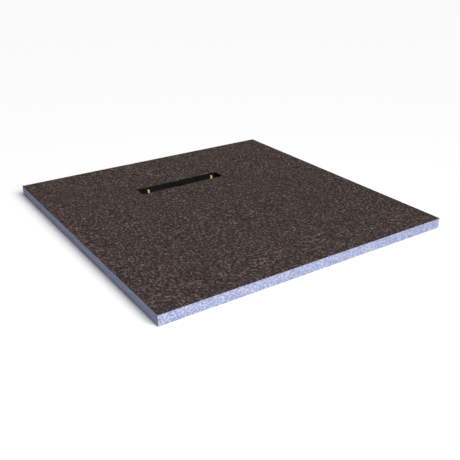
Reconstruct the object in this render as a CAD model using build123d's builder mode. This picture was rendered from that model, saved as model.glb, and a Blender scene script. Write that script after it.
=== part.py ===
"""Square wet-room floor tray with a four-way fall to a linear drain recess.

Frame: millimetres, +Z up, origin at the centre of the underside.
X is the width, Y the depth with the drain recess towards +Y, Z the height.
"""
from build123d import *
import os

# ---- driving dimensions -------------------------------------------------
WIDTH = 1200.0            # X
DEPTH = 1200.0            # Y
THICK = 40.0              # at the perimeter
FALL = 20.0               # from the perimeter down to the drain rim
COAT = 1.6                # gritty top coat
MESH = 0.4                # glass-fibre reinforcement
BASE_COAT = 1.0           # render on the underside
BASE_INSET = 8.0          # plain foam border left round the underside

DRAIN_Y = 307.0           # centre of the drain recess
REC_X = 400.0             # outside of the channel body
REC_Y = 64.0
WALL = 3.0
RIM_Z = THICK - FALL      # 20
FLANGE = 18.0             # width of the bonding flange beyond the body
FLANGE_T = 2.0
GASKET_T = 1.0
FLOOR_END = 7.0           # inside floor height at the ends
FLOOR_MID = 5.4           # inside floor height at the outlet
FLOOR_T = 3.0

OUTLET_R = 22.5
COLLAR_R = 26.5
COLLAR_Z0 = 0.6
SEAL_OUT = 29.6
SEAL_Z0 = 0.5

POST_X = 157.5            # half the spacing of the levelling posts
BOSS_R = 8.0
BOSS_TOP = 7.0
STUD_R = 3.0
STUD_Z0 = 3.0
STUD_Z1 = 12.5
SLEEVE_R = 4.5
SLEEVE_Z0 = 7.0
SLEEVE_Z1 = RIM_Z
FIT = 0.05                # running clearance on the stud
RING_R = 3.95             # friction ring held inside the sleeve
RING_Z0 = 8.2
RING_T = 1.6
SLOT_W = 1.4
SLOT_D = 1.6

os.makedirs("parts", exist_ok=True)
FAR = 200.0
front_run = DEPTH / 2 + DRAIN_Y - REC_Y / 2     # rim to the -Y edge
back_run = DEPTH / 2 - DRAIN_Y - REC_Y / 2      # rim to the +Y edge
side_run = WIDTH / 2 - REC_X / 2                # rim to each side edge


def fall_void(drop):
    """Space above the four sloping planes, lowered by drop."""
    z0 = RIM_Z - drop
    y0, y1 = DRAIN_Y - REC_Y / 2, DRAIN_Y + REC_Y / 2
    x1 = REC_X / 2
    with BuildPart() as void:
        with BuildSketch(Plane.YZ):
            with BuildLine():
                Polyline(
                    (y0, z0),
                    (y1, z0),
                    (y1 + back_run + FAR, z0 + FALL * (back_run + FAR) / back_run),
                    (y1 + back_run + FAR, 120),
                    (y0 - front_run - FAR, 120),
                    (y0 - front_run - FAR, z0 + FALL * (front_run + FAR) / front_run),
                    close=True,
                )
            make_face()
        extrude(amount=WIDTH, both=True)
        with BuildSketch(Plane.XZ):
            with BuildLine():
                Polyline(
                    (-x1, z0),
                    (x1, z0),
                    (x1 + side_run + FAR, z0 + FALL * (side_run + FAR) / side_run),
                    (x1 + side_run + FAR, 120),
                    (-x1 - side_run - FAR, 120),
                    (-x1 - side_run - FAR, z0 + FALL * (side_run + FAR) / side_run),
                    close=True,
                )
            make_face()
        extrude(amount=DEPTH, both=True, mode=Mode.INTERSECT)
    return void.part


void_top = fall_void(0.0)
void_mesh = fall_void(COAT)
void_core = fall_void(COAT + MESH)

# ---- foam core ----------------------------------------------------------
with BuildPart() as foam_core:
    with BuildSketch(Plane.XY):
        Rectangle(WIDTH, DEPTH)
    extrude(amount=THICK)
    add(void_core, mode=Mode.SUBTRACT)
    # pocket for the underside mesh and render
    with BuildSketch(Plane.XY):
        Rectangle(WIDTH - 2 * BASE_INSET, DEPTH - 2 * BASE_INSET)
    extrude(amount=BASE_COAT + MESH, mode=Mode.SUBTRACT)
    # slot for the channel body
    with BuildSketch(Plane.XY):
        with Locations((0, DRAIN_Y)):
            Rectangle(REC_X, REC_Y)
    extrude(amount=THICK, mode=Mode.SUBTRACT)
    # ledge for the flange and its gasket
    with BuildSketch(Plane.XY.offset(RIM_Z - COAT - MESH - FLANGE_T - GASKET_T)):
        with Locations((0, DRAIN_Y)):
            Rectangle(REC_X + 2 * FLANGE, REC_Y + 2 * FLANGE)
    extrude(amount=THICK, mode=Mode.SUBTRACT)

# ---- top mesh and top coat ----------------------------------------------
with BuildPart() as top_mesh:
    with BuildSketch(Plane.XY):
        Rectangle(WIDTH, DEPTH)
    extrude(amount=THICK)
    add(void_core, mode=Mode.INTERSECT)
    add(void_mesh, mode=Mode.SUBTRACT)
    with BuildSketch(Plane.XY):
        with Locations((0, DRAIN_Y)):
            Rectangle(REC_X, REC_Y)
    extrude(amount=THICK, mode=Mode.SUBTRACT)

with BuildPart() as top_coat:
    with BuildSketch(Plane.XY):
        Rectangle(WIDTH, DEPTH)
    extrude(amount=THICK)
    add(void_mesh, mode=Mode.INTERSECT)
    add(void_top, mode=Mode.SUBTRACT)
    with BuildSketch(Plane.XY):
        with Locations((0, DRAIN_Y)):
            Rectangle(REC_X, REC_Y)
    extrude(amount=THICK, mode=Mode.SUBTRACT)

# ---- underside mesh and render ------------------------------------------
with BuildPart() as base_mesh:
    with BuildSketch(Plane.XY.offset(BASE_COAT)):
        Rectangle(WIDTH - 2 * BASE_INSET, DEPTH - 2 * BASE_INSET)
        with Locations((0, DRAIN_Y)):
            Rectangle(REC_X, REC_Y, mode=Mode.SUBTRACT)
    extrude(amount=MESH)

with BuildPart() as base_coat:
    with BuildSketch(Plane.XY):
        Rectangle(WIDTH - 2 * BASE_INSET, DEPTH - 2 * BASE_INSET)
        with Locations((0, DRAIN_Y)):
            Rectangle(REC_X, REC_Y, mode=Mode.SUBTRACT)
    extrude(amount=BASE_COAT)

# ---- drain channel ------------------------------------------------------
flange_z = RIM_Z - COAT - MESH - FLANGE_T      # 16
with BuildPart() as drain_channel:
    # body, underside following the falls of the floor
    with BuildSketch(Plane.XZ.offset(-DRAIN_Y)):
        with BuildLine():
            Polyline(
                (-REC_X / 2, FLOOR_END - FLOOR_T),
                (-COLLAR_R, FLOOR_MID - FLOOR_T),
                (COLLAR_R, FLOOR_MID - FLOOR_T),
                (REC_X / 2, FLOOR_END - FLOOR_T),
                (REC_X / 2, RIM_Z),
                (-REC_X / 2, RIM_Z),
                close=True,
            )
        make_face()
    extrude(amount=REC_Y / 2, both=True)
    # inside
    with BuildSketch(Plane.XZ.offset(-DRAIN_Y)):
        with BuildLine():
            Polyline(
                (-REC_X / 2 + WALL, FLOOR_END),
                (-COLLAR_R, FLOOR_MID),
                (COLLAR_R, FLOOR_MID),
                (REC_X / 2 - WALL, FLOOR_END),
                (REC_X / 2 - WALL, RIM_Z + 5),
                (-REC_X / 2 + WALL, RIM_Z + 5),
                close=True,
            )
        make_face()
    extrude(amount=REC_Y / 2 - WALL, both=True, mode=Mode.SUBTRACT)
    # small fillets in the upright inside corners
    fillet(
        drain_channel.edges()
        .filter_by(Axis.Z)
        .filter_by(lambda e: abs(abs(e.center().X) - (REC_X / 2 - WALL)) < 0.01
                   and abs(abs(e.center().Y - DRAIN_Y) - (REC_Y / 2 - WALL)) < 0.01),
        radius=3.0,
    )
    # bonding flange, its upper face follows the falls
    with BuildSketch(Plane.XY.offset(flange_z)):
        with Locations((0, DRAIN_Y)):
            Rectangle(REC_X + 2 * FLANGE, REC_Y + 2 * FLANGE)
            Rectangle(REC_X, REC_Y, mode=Mode.SUBTRACT)
    extrude(amount=FLANGE_T)
    # two ribs along the underside, clear of the floor below
    with BuildSketch(Plane.XY.offset(0.6)):
        with Locations((-110, DRAIN_Y - 18), (-110, DRAIN_Y + 18),
                       (110, DRAIN_Y - 18), (110, DRAIN_Y + 18)):
            Rectangle(150, 2.4)
    extrude(amount=3.2)
    # cross ribs
    with BuildSketch(Plane.XY.offset(0.6)):
        with Locations((-180, DRAIN_Y), (-130, DRAIN_Y), (-80, DRAIN_Y),
                       (180, DRAIN_Y), (130, DRAIN_Y), (80, DRAIN_Y)):
            Rectangle(2.4, REC_Y - 8)
    extrude(amount=3.2)
    # outlet collar
    with BuildSketch(Plane.XY.offset(COLLAR_Z0)):
        with Locations((0, DRAIN_Y)):
            Circle(COLLAR_R)
    extrude(amount=FLOOR_MID - COLLAR_Z0)
    with BuildSketch(Plane.XY):
        with Locations((0, DRAIN_Y)):
            Circle(OUTLET_R)
    extrude(amount=FLOOR_MID + 4, mode=Mode.SUBTRACT)
    # post bosses
    with BuildSketch(Plane.XY.offset(FLOOR_MID - 1)):
        with Locations((-POST_X, DRAIN_Y), (POST_X, DRAIN_Y)):
            Circle(BOSS_R)
    extrude(amount=BOSS_TOP - FLOOR_MID + 1)
    with BuildSketch(Plane.XY.offset(1.5)):
        with Locations((-POST_X, DRAIN_Y), (POST_X, DRAIN_Y)):
            Circle(BOSS_R)
    extrude(amount=4.5)
    # stud seats
    with BuildSketch(Plane.XY.offset(STUD_Z0)):
        with Locations((-POST_X, DRAIN_Y), (POST_X, DRAIN_Y)):
            Circle(STUD_R)
    extrude(amount=THICK, mode=Mode.SUBTRACT)

# ---- gasket under the flange --------------------------------------------
with BuildPart() as flange_gasket:
    with BuildSketch(Plane.XY.offset(flange_z - GASKET_T)):
        with Locations((0, DRAIN_Y)):
            Rectangle(REC_X + 2 * FLANGE, REC_Y + 2 * FLANGE)
            Rectangle(REC_X, REC_Y, mode=Mode.SUBTRACT)
    extrude(amount=GASKET_T)

# ---- seal round the outlet collar ---------------------------------------
with BuildPart() as outlet_seal:
    with BuildSketch(Plane.XY.offset(SEAL_Z0)):
        with Locations((0, DRAIN_Y)):
            Circle(SEAL_OUT)
            Circle(COLLAR_R, mode=Mode.SUBTRACT)
    extrude(amount=FLOOR_MID - FLOOR_T - SEAL_Z0)

# ---- fixed studs --------------------------------------------------------
with BuildPart() as post_studs:
    with BuildSketch(Plane.XY.offset(STUD_Z0)):
        with Locations((-POST_X, DRAIN_Y), (POST_X, DRAIN_Y)):
            Circle(STUD_R)
    extrude(amount=STUD_Z1 - STUD_Z0)
    chamfer(post_studs.faces().group_by(Axis.Z)[-1].edges(), length=0.5)


def levelling_sleeve(x):
    """Brass sleeve nut, slotted on top, open below for the stud and ring."""
    with BuildPart() as sleeve:
        with BuildSketch(Plane.XY.offset(SLEEVE_Z0)):
            with Locations((x, DRAIN_Y)):
                Circle(SLEEVE_R)
        extrude(amount=SLEEVE_Z1 - SLEEVE_Z0)
        chamfer(sleeve.faces().sort_by(Axis.Z)[-1].edges(), length=0.5)
        with BuildSketch(Plane.XY.offset(SLEEVE_Z0)):
            with Locations((x, DRAIN_Y)):
                Circle(STUD_R + FIT)
        extrude(amount=STUD_Z1 + 0.3 - SLEEVE_Z0, mode=Mode.SUBTRACT)
        # groove for the friction ring
        with BuildSketch(Plane.XY.offset(RING_Z0 - 0.05)):
            with Locations((x, DRAIN_Y)):
                Circle(RING_R + FIT)
        extrude(amount=RING_T + 0.1, mode=Mode.SUBTRACT)
        with BuildSketch(Plane.XY.offset(SLEEVE_Z1 - SLOT_D)):
            with Locations((x, DRAIN_Y)):
                Rectangle(2 * SLEEVE_R + 2, SLOT_W)
        extrude(amount=SLOT_D + 1, mode=Mode.SUBTRACT)
    return sleeve


def friction_ring(x):
    """Nylon ring that grips the stud inside the sleeve."""
    with BuildPart() as ring:
        with BuildSketch(Plane.XY.offset(RING_Z0)):
            with Locations((x, DRAIN_Y)):
                Circle(RING_R)
                Circle(STUD_R + FIT, mode=Mode.SUBTRACT)
        extrude(amount=RING_T)
    return ring


left_levelling_sleeve = levelling_sleeve(-POST_X)
right_levelling_sleeve = levelling_sleeve(POST_X)
left_friction_ring = friction_ring(-POST_X)
right_friction_ring = friction_ring(POST_X)

# the flange meets the sloping layers: trim everything of the channel above
# the falls outside its own outline
with BuildPart() as flange_trim:
    with BuildSketch(Plane.XY.offset(RIM_Z - COAT - MESH)):
        with Locations((0, DRAIN_Y)):
            Rectangle(REC_X + 2 * FLANGE, REC_Y + 2 * FLANGE)
            Rectangle(REC_X, REC_Y, mode=Mode.SUBTRACT)
    extrude(amount=10)
    add(void_core, mode=Mode.SUBTRACT)
with BuildPart() as channel_whole:
    add(drain_channel.part)
    add(flange_trim.part)

pieces = {
    "foam_core": foam_core,
    "top_mesh": top_mesh,
    "top_coat": top_coat,
    "base_mesh": base_mesh,
    "base_coat": base_coat,
    "drain_channel": channel_whole,
    "flange_gasket": flange_gasket,
    "outlet_seal": outlet_seal,
    "post_studs": post_studs,
    "left_levelling_sleeve": left_levelling_sleeve,
    "right_levelling_sleeve": right_levelling_sleeve,
    "left_friction_ring": left_friction_ring,
    "right_friction_ring": right_friction_ring,
}
for name, piece in pieces.items():
    piece.part.label = name
    export_step(piece.part, f"parts/{name}.step")
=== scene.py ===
import math
import bpy
import bmesh
import numpy as np
from mathutils import Vector, Matrix


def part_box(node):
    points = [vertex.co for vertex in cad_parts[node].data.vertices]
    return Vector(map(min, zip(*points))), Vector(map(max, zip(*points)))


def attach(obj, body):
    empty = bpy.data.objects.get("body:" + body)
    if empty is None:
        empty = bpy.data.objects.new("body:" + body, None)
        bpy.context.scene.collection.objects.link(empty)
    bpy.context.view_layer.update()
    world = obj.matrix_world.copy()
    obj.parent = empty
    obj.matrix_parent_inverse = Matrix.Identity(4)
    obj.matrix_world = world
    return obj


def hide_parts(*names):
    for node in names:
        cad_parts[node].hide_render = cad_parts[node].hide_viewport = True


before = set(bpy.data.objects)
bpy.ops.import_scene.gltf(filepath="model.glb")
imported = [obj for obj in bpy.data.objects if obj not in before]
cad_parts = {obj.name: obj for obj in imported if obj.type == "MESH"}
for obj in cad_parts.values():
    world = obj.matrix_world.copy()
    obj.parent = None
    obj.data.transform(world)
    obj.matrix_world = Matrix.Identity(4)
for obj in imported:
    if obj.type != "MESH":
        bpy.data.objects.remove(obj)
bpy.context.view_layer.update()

# ---- places, all from the frame ------------------------------------------
coat_lo, coat_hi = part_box("top_coat")
core_lo, core_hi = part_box("foam_core")
chan_lo, chan_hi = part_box("drain_channel")
base_lo, base_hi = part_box("base_coat")
seal_lo, seal_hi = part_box("outlet_seal")
lsl_lo, lsl_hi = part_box("left_levelling_sleeve")
rsl_lo, rsl_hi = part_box("right_levelling_sleeve")
stud_lo, stud_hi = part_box("post_studs")

HALF = coat_hi[0]
TOP = coat_hi[2]
FLANGE = 0.018
REC_X0, REC_X1 = chan_lo[0] + FLANGE, chan_hi[0] - FLANGE
REC_Y0, REC_Y1 = chan_lo[1] + FLANGE, chan_hi[1] - FLANGE
RIM = chan_hi[2]
FALL = TOP - RIM
COAT = 0.0016
DRAIN_Y = (REC_Y0 + REC_Y1) / 2


def fall_height(x, y):
    """Height of the sloping top at x, y (arrays), exact at the rim and the edge."""
    dx = np.maximum(0.0, np.maximum(REC_X0 - x, x - REC_X1)) / (HALF - REC_X1)
    df = np.maximum(0.0, REC_Y0 - y) / (REC_Y0 + HALF)
    db = np.maximum(0.0, y - REC_Y1) / (HALF - REC_Y1)
    return RIM + FALL * np.maximum(dx, np.maximum(df, db))


# ---- seeded noise fields -------------------------------------------------
def lattice(seed, n=256):
    return np.random.RandomState(seed).rand(n, n)


def value_noise(x, y, scale, seed):
    g = lattice(seed)
    n = g.shape[0]
    u, v = x / scale, y / scale
    i, j = np.floor(u).astype(int), np.floor(v).astype(int)
    fu, fv = u - i, v - j
    fu, fv = fu * fu * (3 - 2 * fu), fv * fv * (3 - 2 * fv)
    a = g[i % n, j % n]
    b = g[(i + 1) % n, j % n]
    c = g[i % n, (j + 1) % n]
    d = g[(i + 1) % n, (j + 1) % n]
    return (a * (1 - fu) + b * fu) * (1 - fv) + (c * (1 - fu) + d * fu) * fv


def new_object(name, verts, faces, smooth=False):
    me = bpy.data.meshes.new(name)
    me.from_pydata([tuple(map(float, v)) for v in verts], [], faces)
    me.update()
    ob = bpy.data.objects.new(name, me)
    bpy.context.scene.collection.objects.link(ob)
    if smooth:
        for p in me.polygons:
            p.use_smooth = True
    return ob


# ---- node-material helpers ------------------------------------------------
def srgb(r, g, b):
    def f(c):
        c /= 255.0
        return c / 12.92 if c <= 0.04045 else ((c + 0.055) / 1.055) ** 2.4
    return (f(r), f(g), f(b), 1.0)


def tone(r, g, b, k):
    """An sRGB colour, scaled by k in linear light."""
    c = srgb(r, g, b)
    return (c[0] * k, c[1] * k, c[2] * k, 1.0)


class Mat:
    """A node tree with short calls for the few node kinds used here."""

    def __init__(self, name, rough=0.8, metallic=0.0, specular=0.3):
        self.m = bpy.data.materials.new(name)
        self.m.use_nodes = True
        self.t = self.m.node_tree
        self.t.nodes.clear()
        self.out = self.t.nodes.new("ShaderNodeOutputMaterial")
        self.b = self.t.nodes.new("ShaderNodeBsdfPrincipled")
        self.b.inputs["Roughness"].default_value = rough
        self.b.inputs["Metallic"].default_value = metallic
        self.b.inputs["Specular IOR Level"].default_value = specular
        self.t.links.new(self.b.outputs[0], self.out.inputs[0])
        self.co = self.t.nodes.new("ShaderNodeTexCoord").outputs["Object"]

    def link(self, a, b):
        self.t.links.new(a, b)

    def scaled(self, scale, rot=(0, 0, 0)):
        n = self.t.nodes.new("ShaderNodeMapping")
        n.inputs["Scale"].default_value = scale
        n.inputs["Rotation"].default_value = rot
        self.link(self.co, n.inputs["Vector"])
        return n.outputs[0]

    def noise(self, scale, detail=3.0, rough=0.55, distort=0.0, vec=None):
        n = self.t.nodes.new("ShaderNodeTexNoise")
        n.inputs["Scale"].default_value = scale
        n.inputs["Detail"].default_value = detail
        n.inputs["Roughness"].default_value = rough
        n.inputs["Distortion"].default_value = distort
        self.link(vec or self.co, n.inputs["Vector"])
        return n.outputs["Fac"]

    def voronoi(self, scale, feature="F1", vec=None, rand=1.0, out="Distance"):
        n = self.t.nodes.new("ShaderNodeTexVoronoi")
        n.feature = feature
        n.inputs["Scale"].default_value = scale
        n.inputs["Randomness"].default_value = rand
        self.link(vec or self.co, n.inputs["Vector"])
        return n.outputs[out]

    def wave(self, scale, direction="X", vec=None, profile="SIN", distort=0.0):
        n = self.t.nodes.new("ShaderNodeTexWave")
        n.bands_direction = direction
        n.wave_profile = profile
        n.inputs["Scale"].default_value = scale
        n.inputs["Distortion"].default_value = distort
        self.link(vec or self.co, n.inputs["Vector"])
        return n.outputs["Fac"]

    def ramp(self, fac, stops, interp="LINEAR"):
        n = self.t.nodes.new("ShaderNodeValToRGB")
        n.color_ramp.interpolation = interp
        e = n.color_ramp.elements
        while len(e) < len(stops):
            e.new(0.5)
        for k, (p, c) in enumerate(stops):
            e[k].position = p
            e[k].color = c if len(c) == 4 else (*c, 1.0)
        self.link(fac, n.inputs[0])
        return n.outputs["Color"]

    def level(self, fac, lo, hi, a=0.0, b=1.0):
        n = self.t.nodes.new("ShaderNodeMapRange")
        n.inputs["From Min"].default_value = lo
        n.inputs["From Max"].default_value = hi
        n.inputs["To Min"].default_value = a
        n.inputs["To Max"].default_value = b
        self.link(fac, n.inputs["Value"])
        return n.outputs["Result"]

    def math(self, op, a, b):
        n = self.t.nodes.new("ShaderNodeMath")
        n.operation = op
        for k, v in enumerate((a, b)):
            if isinstance(v, (int, float)):
                n.inputs[k].default_value = v
            else:
                self.link(v, n.inputs[k])
        return n.outputs[0]

    def mix(self, fac, a, b, blend="MIX"):
        n = self.t.nodes.new("ShaderNodeMix")
        n.data_type = "RGBA"
        n.blend_type = blend
        n.clamp_factor = True
        if isinstance(fac, (int, float)):
            n.inputs[0].default_value = fac
        else:
            self.link(fac, n.inputs[0])
        for k, v in ((6, a), (7, b)):
            if isinstance(v, tuple):
                n.inputs[k].default_value = v
            else:
                self.link(v, n.inputs[k])
        return n.outputs[2]

    def colour(self, c):
        self.link(c, self.b.inputs["Base Color"])

    def rough(self, r):
        self.link(r, self.b.inputs["Roughness"])

    def bump(self, height, distance, strength=1.0):
        n = self.t.nodes.new("ShaderNodeBump")
        n.inputs["Strength"].default_value = strength
        n.inputs["Distance"].default_value = distance
        self.link(height, n.inputs["Height"])
        self.link(n.outputs[0], self.b.inputs["Normal"])


def put(node, mat):
    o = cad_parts[node]
    if not o.material_slots:
        o.data.materials.append(None)
    for s in o.material_slots:
        s.link = "OBJECT"
        s.material = mat.m


# ---- gritty dark coat -----------------------------------------------------
TK = 0.535
grit = Mat("grit_coat", rough=0.9, specular=0.15)
g_fine = grit.noise(340.0, 2.0, 0.6)
g_mid = grit.noise(120.0, 2.0, 0.55, 0.6)
g_wrig = grit.noise(74.0, 1.0, 0.5, 2.6)
g_wrig2 = grit.noise(97.0, 1.0, 0.5, 2.0, vec=grit.scaled((1.0, 1.0, 1.0), (0.0, 0.0, 1.1)))
g_big = grit.noise(9.0, 3.0, 0.5)
cell = grit.voronoi(118.0)
base_c = grit.ramp(g_mid, [(0.35, tone(16, 16, 11, TK)), (0.44, tone(42, 37, 32, TK)),
                           (0.52, tone(74, 64, 61, TK)), (0.59, tone(114, 96, 93, TK)), (0.67, tone(168, 142, 136, TK))])
fil = grit.level(grit.math("ABSOLUTE", grit.math("SUBTRACT", g_wrig, 0.5), 0.0), 0.0, 0.055, 1.0, 0.0)
fil2 = grit.level(grit.math("ABSOLUTE", grit.math("SUBTRACT", g_wrig2, 0.5), 0.0), 0.0, 0.05, 1.0, 0.0)
c1 = grit.mix(grit.math("MULTIPLY", fil, 0.62), base_c, tone(132, 110, 107, TK))
c1 = grit.mix(grit.math("MULTIPLY", fil2, 0.58), c1, tone(36, 33, 27, TK))
dark = grit.level(cell, 0.14, 0.34, 0.85, 0.0)
c2 = grit.mix(dark, c1, tone(34, 32, 24, TK))
c3 = grit.mix(grit.level(g_fine, 0.58, 0.74, 0.0, 0.7), c2, tone(150, 130, 124, TK))
c4 = grit.mix(grit.level(g_big, 0.35, 0.7, 0.0, 0.18), c3, tone(54, 47, 45, TK))
grit.colour(c4)
grit.rough(grit.level(g_fine, 0.3, 0.7, 0.8, 0.97))
grit.bump(grit.math("ADD", grit.math("MULTIPLY", g_mid, 0.7), grit.math("MULTIPLY", g_fine, 0.5)), 0.0016, 0.9)

# ---- foam -----------------------------------------------------------------
FK = 0.575
foam = Mat("foam_edge", rough=0.8, specular=0.15)
f_big = foam.noise(30.0, 3.0, 0.6, 0.6)
f_mid = foam.noise(165.0, 2.0, 0.6, 0.5)
f_spot = foam.voronoi(120.0)
f_fine = foam.noise(420.0, 2.0, 0.6)
f_cell = foam.voronoi(900.0)
f_str = foam.noise(1.0, 2.0, 0.6, 0.0, vec=foam.scaled((60.0, 9.0, 330.0)))
fc = foam.ramp(f_big, [(0.34, tone(172, 181, 219, FK)), (0.5, tone(188, 196, 226, FK)), (0.66, tone(206, 211, 231, FK))])
fc = foam.mix(foam.level(f_mid, 0.49, 0.60, 0.0, 0.9), fc, tone(142, 151, 205, FK))
fc = foam.mix(foam.level(f_mid, 0.48, 0.36, 0.0, 0.9), fc, tone(238, 239, 242, FK))
fc = foam.mix(foam.level(f_spot, 0.16, 0.30, 0.72, 0.0), fc, tone(126, 134, 198, FK))
fc = foam.mix(foam.level(f_fine, 0.35, 0.7, 0.0, 0.3), fc, tone(160, 170, 214, FK))
# faces turned along X get a darker, streaked copy of the foam colour: the streaks are the foam's extruded
# skin, the darker tone is painted shade
geo = foam.t.nodes.new("ShaderNodeNewGeometry")
sep = foam.t.nodes.new("ShaderNodeSeparateXYZ")
foam.link(geo.outputs["True Normal"], sep.inputs[0])
x_face_shade_mask = foam.math("ABSOLUTE", sep.outputs[0], 0.0)
x_face_streaks_and_shade = foam.ramp(f_str, [(0.32, tone(118, 128, 168, FK)), (0.5, tone(158, 167, 200, FK)), (0.68, tone(196, 203, 224, FK))])
fc = foam.mix(foam.level(x_face_shade_mask, 0.5, 0.9, 0.0, 0.72), fc, x_face_streaks_and_shade)
foam.colour(fc)
foam.bump(foam.math("ADD", foam.math("MULTIPLY", f_cell, 0.4), f_fine), 0.0006, 0.6)

# ---- underside render with the mesh showing through ------------------------
cem = Mat("base_render", rough=0.92, specular=0.15)
m_n = cem.noise(60.0, 4.0, 0.6)
m_b = cem.noise(5.0, 3.0, 0.5)
m_f = cem.noise(600.0, 2.0, 0.6)
mw = 2 * math.pi / 0.005 / 20.0
wx = cem.wave(mw, "X")
wy = cem.wave(mw, "Y")
weave = cem.math("MAXIMUM", cem.level(wx, 0.80, 0.97, 0.0, 1.0), cem.level(wy, 0.80, 0.97, 0.0, 1.0))
cc = cem.ramp(m_n, [(0.3, srgb(136, 134, 129)), (0.5, srgb(157, 155, 150)), (0.7, srgb(176, 174, 168))])
cc = cem.mix(cem.level(m_b, 0.35, 0.68, 0.0, 0.35), cc, srgb(128, 126, 120))
cc = cem.mix(cem.math("MULTIPLY", weave, cem.level(m_b, 0.3, 0.7, 0.15, 0.55)), cc, srgb(196, 196, 190))
cem.colour(cc)
cem.bump(cem.math("ADD", cem.math("MULTIPLY", weave, 0.8), m_f), 0.0005, 0.7)

# ---- mesh edge (only its cut edge shows) ------------------------------------
msh = Mat("mesh_edge", rough=0.85, specular=0.2)
e_n = msh.noise(260.0, 2.0, 0.6)
msh.colour(msh.ramp(e_n, [(0.35, srgb(62, 58, 56)), (0.6, srgb(92, 88, 88)), (0.72, srgb(140, 140, 146))]))
msh.bump(e_n, 0.0004, 0.6)

# ---- black moulded plastic ---------------------------------------------------
blk = Mat("black_channel", rough=0.6, specular=0.12)
b_f = blk.noise(1400.0, 2.0, 0.5)
b_m = blk.noise(35.0, 3.0, 0.5)
blk.colour(blk.ramp(b_m, [(0.3, srgb(12, 12, 13)), (0.7, srgb(20, 20, 20))]))
blk.rough(blk.level(b_m, 0.3, 0.7, 0.5, 0.68))
blk.bump(b_f, 0.00012, 0.5)

rub = Mat("seal_rubber", rough=0.68, specular=0.3)
r_n = rub.noise(500.0, 2.0, 0.5)
rub.colour(rub.ramp(r_n, [(0.3, srgb(28, 28, 29)), (0.7, srgb(40, 40, 41))]))
rub.bump(r_n, 0.0002, 0.5)

# ---- brass ---------------------------------------------------------------------
bra = Mat("turned_brass", rough=0.38, metallic=0.5, specular=0.6)
t_n = bra.noise(300.0, 2.0, 0.5, 0.3)
t_r = bra.noise(900.0, 2.0, 0.5, 0.0, vec=bra.scaled((1, 1, 9)))
bc = bra.ramp(t_n, [(0.3, srgb(246, 208, 112)), (0.55, srgb(254, 228, 140)), (0.75, srgb(255, 238, 165))])
bra.colour(bc)
bra.rough(bra.level(t_r, 0.3, 0.7, 0.26, 0.44))
bra.bump(t_r, 0.00005, 0.5)

nyl = Mat("nylon_ring", rough=0.5, specular=0.4)
n_n = nyl.noise(400.0, 2.0, 0.5)
nyl.colour(nyl.ramp(n_n, [(0.3, srgb(214, 211, 196)), (0.7, srgb(230, 228, 216))]))
nyl.bump(n_n, 0.0001, 0.4)

put("foam_core", foam)
put("top_mesh", msh)
put("base_mesh", msh)
put("base_coat", cem)
put("drain_channel", blk)
put("flange_gasket", rub)
put("outlet_seal", rub)
put("post_studs", bra)
put("left_levelling_sleeve", bra)
put("right_levelling_sleeve", bra)
put("left_friction_ring", nyl)
put("right_friction_ring", nyl)
put("top_coat", grit)


# ---- the coat as a fine displaced sheet ----------------------------------------
def spans(stops, cell_size):
    out = []
    for a, b in zip(stops[:-1], stops[1:]):
        n = max(1, int(round((b - a) / cell_size)))
        out += [a + (b - a) * k / n for k in range(n)]
    return np.array(out + [stops[-1]])


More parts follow.
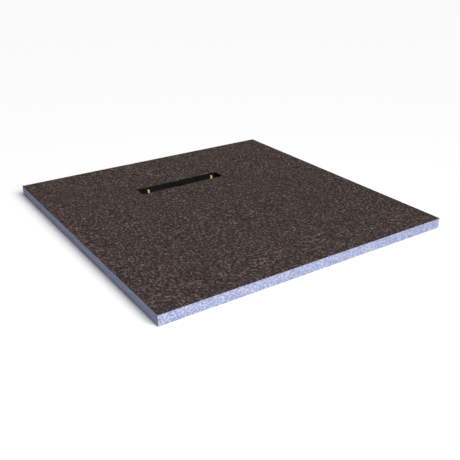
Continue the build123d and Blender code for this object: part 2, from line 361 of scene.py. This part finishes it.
def build_coat():
    cellm = 0.00408
    xs = spans([-HALF, REC_X0, REC_X1, HALF], cellm)
    ys = spans([-HALF, REC_Y0, REC_Y1, HALF], cellm)
    nx, ny = len(xs), len(ys)
    ix0, ix1 = int(np.argmin(abs(xs - REC_X0))), int(np.argmin(abs(xs - REC_X1)))
    iy0, iy1 = int(np.argmin(abs(ys - REC_Y0))), int(np.argmin(abs(ys - REC_Y1)))
    X, Y = np.meshgrid(xs, ys, indexing="ij")
    rs = np.random.RandomState(7)
    # grains sit off the regular grid, except on the borders
    jx = (rs.rand(nx, ny) - 0.5) * cellm * 0.62
    jy = (rs.rand(nx, ny) - 0.5) * cellm * 0.62
    for i in (0, nx - 1):
        jx[i, :] = 0
    for j in (0, ny - 1):
        jy[:, j] = 0
    jx[ix0, iy0:iy1 + 1] = 0
    jx[ix1, iy0:iy1 + 1] = 0
    jy[ix0:ix1 + 1, iy0] = 0
    jy[ix0:ix1 + 1, iy1] = 0
    for i in (0, nx - 1, ix0, ix1):
        for j in (0, ny - 1, iy0, iy1):
            jx[i, j] = jy[i, j] = 0
    X = X + jx
    Y = Y + jy
    Z = fall_height(X, Y)
    n1 = value_noise(X, Y, 0.0075, 11) - 0.5
    n2 = value_noise(X + 3, Y + 5, 0.0048, 12) - 0.5
    n3 = rs.rand(nx, ny) - 0.5
    n4 = value_noise(X, Y, 0.06, 13) - 0.5
    rough = 0.0007 * n1 + 0.0006 * n2 + 0.0006 * n3 + 0.0003 * n4 - 0.0002
    # the edge and the rim of the recess stay true, slightly worn
    de = np.minimum(np.minimum(HALF - abs(X), HALF - abs(Y)), 0.02)
    dr = np.maximum(np.maximum(REC_X0 - X, X - REC_X1), np.maximum(REC_Y0 - Y, Y - REC_Y1))
    dr = np.clip(dr, 0, 0.012)
    keep = np.clip(de / 0.004, 0.25, 1.0) * np.clip(dr / 0.004, 0.2, 1.0)
    Z = Z + rough * keep
    Z = Z - 0.0003 * (de < 0.001) - 0.00005 * (dr < 0.001)
    Z = np.minimum(Z, TOP)
    verts, vid = [], -np.ones((nx, ny), int)
    for i in range(nx):
        for j in range(ny):
            if ix0 < i < ix1 and iy0 < j < iy1:
                continue
            vid[i, j] = len(verts)
            verts.append((X[i, j], Y[i, j], Z[i, j]))
    faces = []
    for i in range(nx - 1):
        for j in range(ny - 1):
            if ix0 <= i < ix1 and iy0 <= j < iy1:
                continue
            a, b, c, d = vid[i, j], vid[i + 1, j], vid[i + 1, j + 1], vid[i, j + 1]
            faces.append((a, b, c, d))
    # lower outline of the sheet
    low = {}

    def lowv(i, j):
        if (i, j) not in low:
            low[i, j] = len(verts)
            z = float(fall_height(np.array([xs[i]]), np.array([ys[j]]))[0]) - COAT
            verts.append((xs[i], ys[j], z))
        return low[i, j]

    outer = ([(i, 0) for i in range(nx)] + [(nx - 1, j) for j in range(1, ny)]
             + [(i, ny - 1) for i in range(nx - 2, -1, -1)] + [(0, j) for j in range(ny - 2, 0, -1)])
    inner = ([(i, iy0) for i in range(ix0, ix1 + 1)] + [(ix1, j) for j in range(iy0 + 1, iy1 + 1)]
             + [(i, iy1) for i in range(ix1 - 1, ix0 - 1, -1)] + [(ix0, j) for j in range(iy1 - 1, iy0, -1)])
    for loop, flip in ((outer, False), (inner, True)):
        m = len(loop)
        for k in range(m):
            p, q = loop[k], loop[(k + 1) % m]
            f = (lowv(*p), lowv(*q), vid[q], vid[p])
            faces.append(f[::-1] if flip else f)
    # underside: four plane facets
    sides = [
        ([(i, 0) for i in range(nx)], [(i, iy0) for i in range(ix1, ix0 - 1, -1)]),
        ([(nx - 1, j) for j in range(ny)], [(ix1, j) for j in range(iy1, iy0 - 1, -1)]),
        ([(i, ny - 1) for i in range(nx - 1, -1, -1)], [(i, iy1) for i in range(ix0, ix1 + 1)]),
        ([(0, j) for j in range(ny - 1, -1, -1)], [(ix0, j) for j in range(iy0, iy1 + 1)]),
    ]
    for a, b in sides:
        faces.append(tuple(lowv(*p) for p in (a + b))[::-1])
    ob = new_object("top_coat_grit", verts, faces)
    ob.data.materials.append(grit.m)
    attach(ob, "root")
    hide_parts("top_coat")
    return ob


build_coat()


# ---- foam core, its cut sides slightly uneven -------------------------------------
def build_foam():
    step = 0.0036
    n = int(round(2 * HALF / step))
    t = np.linspace(-HALF, HALF, n + 1)
    zt = core_hi[2]
    rows = 12
    zs = np.linspace(0.0, zt, rows)
    loop = ([(x, -HALF) for x in t[:-1]] + [(HALF, y) for y in t[:-1]]
            + [(x, HALF) for x in t[::-1][:-1]] + [(-HALF, y) for y in t[::-1][:-1]])
    m = len(loop)
    P = np.array(loop)
    s_par = np.arange(m) * step
    rs = np.random.RandomState(21)
    verts, faces = [], []
    idx = np.zeros((rows, m), int)
    for r in range(rows):
        z = np.full(m, zs[r])
        inner = 0 < r < rows - 1
        d = (0.00045 * value_noise(s_par, z + 9.0, 0.011, 31) + 0.0003 * value_noise(s_par, z, 0.005, 32)
             + 0.00022 * rs.rand(m)) if inner else np.full(m, 0.0)
        nxv = np.where(abs(P[:, 0]) > HALF - 1e-9, np.sign(P[:, 0]), 0.0)
        nyv = np.where(abs(P[:, 1]) > HALF - 1e-9, np.sign(P[:, 1]), 0.0)
        X, Y = P[:, 0] - nxv * d, P[:, 1] - nyv * d
        for k in range(m):
            idx[r, k] = len(verts)
            verts.append((X[k], Y[k], z[k]))
    for r in range(rows - 1):
        for k in range(m):
            q = (k + 1) % m
            faces.append((idx[r, k], idx[r, q], idx[r + 1, q], idx[r + 1, k]))
    corners = [0, n, 2 * n, 3 * n]

    def rect(x, y0, y1, z):
        a = len(verts)
        verts.extend([(-x, y0, z), (x, y0, z), (x, y1, z), (-x, y1, z)])
        return [a, a + 1, a + 2, a + 3]

    def join_loop(row, rc, up):
        for c in range(4):
            a, b = corners[c], corners[c] + n
            side = [int(idx[row, k % m]) for k in range(a, b + 1)]
            f = side + [rc[(c + 1) % 4], rc[c]]
            faces.append(tuple(f if up else f[::-1]))

    def join_rects(a, b):
        for c in range(4):
            d = (c + 1) % 4
            faces.append((a[c], a[d], b[d], b[c]))

    bx = base_hi[0]
    slot_z = 0.0014
    led_z = RIM - 0.005
    y0, y1 = REC_Y0, REC_Y1
    lx, ly0, ly1 = chan_hi[0], chan_lo[1], chan_hi[1]
    r0 = rect(bx, -bx, bx, 0.0)
    r1 = rect(bx, -bx, bx, slot_z)
    r2 = rect(REC_X1, y0, y1, slot_z)
    r3 = rect(REC_X1, y0, y1, led_z)
    r4 = rect(lx, ly0, ly1, led_z)
    r5 = rect(lx, ly0, ly1, RIM - 0.0021)
    join_loop(0, r0, False)
    join_rects(r1, r0)
    join_rects(r2, r1)
    join_rects(r3, r2)
    join_rects(r4, r3)
    join_rects(r5, r4)
    join_loop(rows - 1, r5, True)
    ob = new_object("foam_core_cut", verts, faces)
    bm = bmesh.new()
    bm.from_mesh(ob.data)
    bmesh.ops.recalc_face_normals(bm, faces=bm.faces)
    bm.to_mesh(ob.data)
    bm.free()
    ob.data.materials.append(foam.m)
    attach(ob, "root")
    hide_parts("foam_core")
    return ob


build_foam()


# ---- threaded studs and turned sleeves ----------------------------------------------
def thread_verts(cx, cy, z0, z1, r, depth, pitch, seg=56, per=9, fade=0.0006):
    nz = int(round((z1 - z0) / pitch * per))
    verts, faces = [], []
    for i in range(nz + 1):
        z = z0 + (z1 - z0) * i / nz
        f = min(1.0, (z - z0) / fade, (z1 - z) / fade)
        for k in range(seg):
            th = 2 * math.pi * k / seg
            ph = ((z / pitch) - k / seg) % 1.0
            tri = 1.0 - abs(2 * ph - 1.0)
            prof = min(1.0, max(0.0, (tri - 0.12) / 0.76))
            top = r - 0.0004 * max(0.0, 1.0 - (z1 - z) / 0.0005)
            rr = top - depth * (1.0 - prof) * max(0.0, f)
            verts.append((cx + rr * math.cos(th), cy + rr * math.sin(th), z))
    for i in range(nz):
        for k in range(seg):
            q = (k + 1) % seg
            faces.append((i * seg + k, i * seg + q, (i + 1) * seg + q, (i + 1) * seg + k))
    faces.append(tuple(range(seg))[::-1])
    faces.append(tuple(nz * seg + k for k in range(seg)))
    return verts, faces


PX = (rsl_lo[0] + rsl_hi[0]) / 2
PY = (rsl_lo[1] + rsl_hi[1]) / 2
LX = (lsl_lo[0] + lsl_hi[0]) / 2
SR = (rsl_hi[0] - rsl_lo[0]) / 2
STUD_R = (stud_hi[1] - stud_lo[1]) / 2

allv, allf = [], []
for cxx in (LX, PX):
    v, f = thread_verts(cxx, PY, stud_lo[2], stud_hi[2], STUD_R, 0.00045, 0.001)
    o = len(allv)
    allv += v
    allf += [tuple(o + i for i in ff) for ff in f]
studs = new_object("threaded_studs", allv, allf)
studs.data.materials.append(bra.m)
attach(studs, "root")
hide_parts("post_studs")


def build_sleeve(name, cx, node, body):
    z0, z1 = rsl_lo[2], rsl_hi[2]
    bore = STUD_R + 0.00005
    bore_top = stud_hi[2] + 0.0003
    prof = [(bore, bore_top), (bore, z0 + 0.0003), (bore + 0.0003, z0), (SR - 0.0004, z0), (SR, z0 + 0.0004)]
    # fine turned rings down the body and a plain band under the slot
    z = z0 + 0.0010
    while z < z1 - 0.0048:
        prof += [(SR, z), (SR - 0.00014, z + 0.00022), (SR - 0.00014, z + 0.00038), (SR, z + 0.0006)]
        z += 0.0011
    prof += [(SR, z1 - 0.0007), (SR - 0.0001, z1 - 0.00035), (SR - 0.0005, z1 - 0.00005), (SR - 0.0008, z1)]
    seg = 72
    verts, faces = [], []
    for r, z in prof:
        for k in range(seg):
            th = 2 * math.pi * k / seg
            verts.append((cx + r * math.cos(th), PY + r * math.sin(th), z))
    for i in range(len(prof) - 1):
        for k in range(seg):
            q = (k + 1) % seg
            faces.append((i * seg + k, i * seg + q, (i + 1) * seg + q, (i + 1) * seg + k))
    faces.append(tuple(range(seg)))
    faces.append(tuple((len(prof) - 1) * seg + k for k in range(seg)))
    ob = new_object(name, verts, faces)
    bm = bmesh.new()
    bm.from_mesh(ob.data)
    bmesh.ops.recalc_face_normals(bm, faces=bm.faces)
    bm.to_mesh(ob.data)
    bm.free()
    cut_v = []
    for x in (-SR - 0.001, SR + 0.001):
        for y in (-0.0007, 0.0007):
            for zz in (z1 - 0.0016, z1 + 0.002):
                cut_v.append((cx + x, PY + y, zz))
    cut_f = [(0, 1, 3, 2), (4, 6, 7, 5), (0, 4, 5, 1), (2, 3, 7, 6), (0, 2, 6, 4), (1, 5, 7, 3)]
    cutter = new_object(name + "_cut", cut_v, cut_f)
    bm = bmesh.new()
    bm.from_mesh(cutter.data)
    bmesh.ops.recalc_face_normals(bm, faces=bm.faces)
    bm.to_mesh(cutter.data)
    bm.free()
    mod = ob.modifiers.new("slot", "BOOLEAN")
    mod.operation = "DIFFERENCE"
    mod.solver = "EXACT"
    mod.object = cutter
    dg = bpy.context.evaluated_depsgraph_get()
    me = bpy.data.meshes.new_from_object(ob.evaluated_get(dg), depsgraph=dg)
    ob.modifiers.clear()
    ob.data = me
    bpy.data.objects.remove(cutter)
    ob.data.materials.clear()
    ob.data.materials.append(bra.m)
    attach(ob, body)
    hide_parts(node)
    return ob


build_sleeve("left_sleeve_turned", LX, "left_levelling_sleeve", "left_sleeve")
build_sleeve("right_sleeve_turned", PX, "right_levelling_sleeve", "right_sleeve")


# ---- camera -------------------------------------------------------------------
# it stands off the near corner, looking down across the tray
W = 2 * HALF
cam_data = bpy.data.cameras.new("camera")
cam_data.lens = 49.803
cam_data.sensor_width = 36.0
cam_data.clip_start, cam_data.clip_end = 0.05, 60.0
cam = bpy.data.objects.new("camera", cam_data)
bpy.context.scene.collection.objects.link(cam)
cam.location = Vector((-1.0700, -1.6392, 0.8487)) * W
a, e, r = (math.radians(v) for v in (-34.200, 25.224, -0.204))
back = Vector((math.sin(a) * math.cos(e), -math.cos(a) * math.cos(e), math.sin(e)))
zf = -back
xr = zf.cross(Vector((0, 0, 1))).normalized()
yd = zf.cross(xr)
xr2 = math.cos(r) * xr + math.sin(r) * yd
yd2 = -math.sin(r) * xr + math.cos(r) * yd
rot = Matrix((xr2, -yd2, back)).transposed()
cam.rotation_mode = "QUATERNION"
cam.rotation_quaternion = rot.to_quaternion()
bpy.context.scene.camera = cam

# ---- stage ---------------------------------------------------------------------
OUT_R = 0.0225
seg = 64
ring_r = OUT_R + 0.004
big = 14.0
sv, sf = [], []
for k in range(seg):
    t = 2 * math.pi * k / seg
    sv.append((ring_r * math.cos(t), DRAIN_Y + ring_r * math.sin(t), -0.0004))
for k in range(seg):
    t = 2 * math.pi * k / seg
    sv.append((big * math.cos(t), DRAIN_Y + big * math.sin(t), -0.0004))
for k in range(seg):
    t = 2 * math.pi * k / seg
    sv.append((ring_r * math.cos(t), DRAIN_Y + ring_r * math.sin(t), -0.25))
for k in range(seg):
    n = (k + 1) % seg
    sf.append((k, seg + k, seg + n, n))
floor = new_object("stage_floor", sv[:2 * seg], sf)
fm = Mat("stage_pale", rough=0.9, specular=0.1)
fm.b.inputs["Base Color"].default_value = (0.93, 0.93, 0.93, 1)
floor.data.materials.append(fm.m)
pv = sv[:seg] + sv[2 * seg:]
pf = [(k, (k + 1) % seg, seg + (k + 1) % seg, seg + k) for k in range(seg)] + [tuple(range(seg, 2 * seg))]
# near-black pit under the outlet hole: painted shade, so the drain shows dark instead of the lit floor beneath
pit = new_object("stage_pit", pv, pf)
pm = Mat("stage_pit_painted_shade", rough=0.9, specular=0.1)
pm.b.inputs["Base Color"].default_value = (0.01, 0.01, 0.01, 1)
pit.data.materials.append(pm.m)

world = bpy.data.worlds.new("world")
bpy.context.scene.world = world
world.use_nodes = True
bg = world.node_tree.nodes["Background"]
bg.inputs[0].default_value = (1.0, 1.0, 1.0, 1)
bg.inputs[1].default_value = 0.33
wt = world.node_tree
bg2 = wt.nodes.new("ShaderNodeBackground")
bg2.inputs[0].default_value = (1.0, 1.0, 1.0, 1)
bg2.inputs[1].default_value = 1.0
wmix = wt.nodes.new("ShaderNodeMixShader")
lpath = wt.nodes.new("ShaderNodeLightPath")
wt.links.new(lpath.outputs["Is Camera Ray"], wmix.inputs[0])
wt.links.new(bg.outputs[0], wmix.inputs[1])
wt.links.new(bg2.outputs[0], wmix.inputs[2])
wt.links.new(wmix.outputs[0], wt.nodes["World Output"].inputs[0])


def area(name, loc, target, size, power, colour=(1, 1, 1)):
    d = bpy.data.lights.new(name, "AREA")
    d.energy = power
    d.size = size
    d.color = colour
    o = bpy.data.objects.new(name, d)
    bpy.context.scene.collection.objects.link(o)
    o.location = loc
    o.rotation_mode = "QUATERNION"
    o.rotation_quaternion = (Vector(target) - Vector(loc)).to_track_quat("-Z", "Y")
    return o


sun_data = bpy.data.lights.new("sun", "SUN")
sun_data.energy = 3.35
sun_data.angle = math.radians(44)
sun = bpy.data.objects.new("sun", sun_data)
bpy.context.scene.collection.objects.link(sun)
sun.rotation_mode = "QUATERNION"
s_az, s_el = math.radians(26), math.radians(42)
sun_from = Vector((math.sin(s_az) * math.cos(s_el), -math.cos(s_az) * math.cos(s_el), math.sin(s_el)))
sun.rotation_quaternion = (-sun_from).to_track_quat("-Z", "Y")
area("key", (-0.45, -1.9, 0.9), (-0.45, -0.6, 0), 0.6, 9.0)
bpy.context.scene.view_settings.view_transform = "Standard"
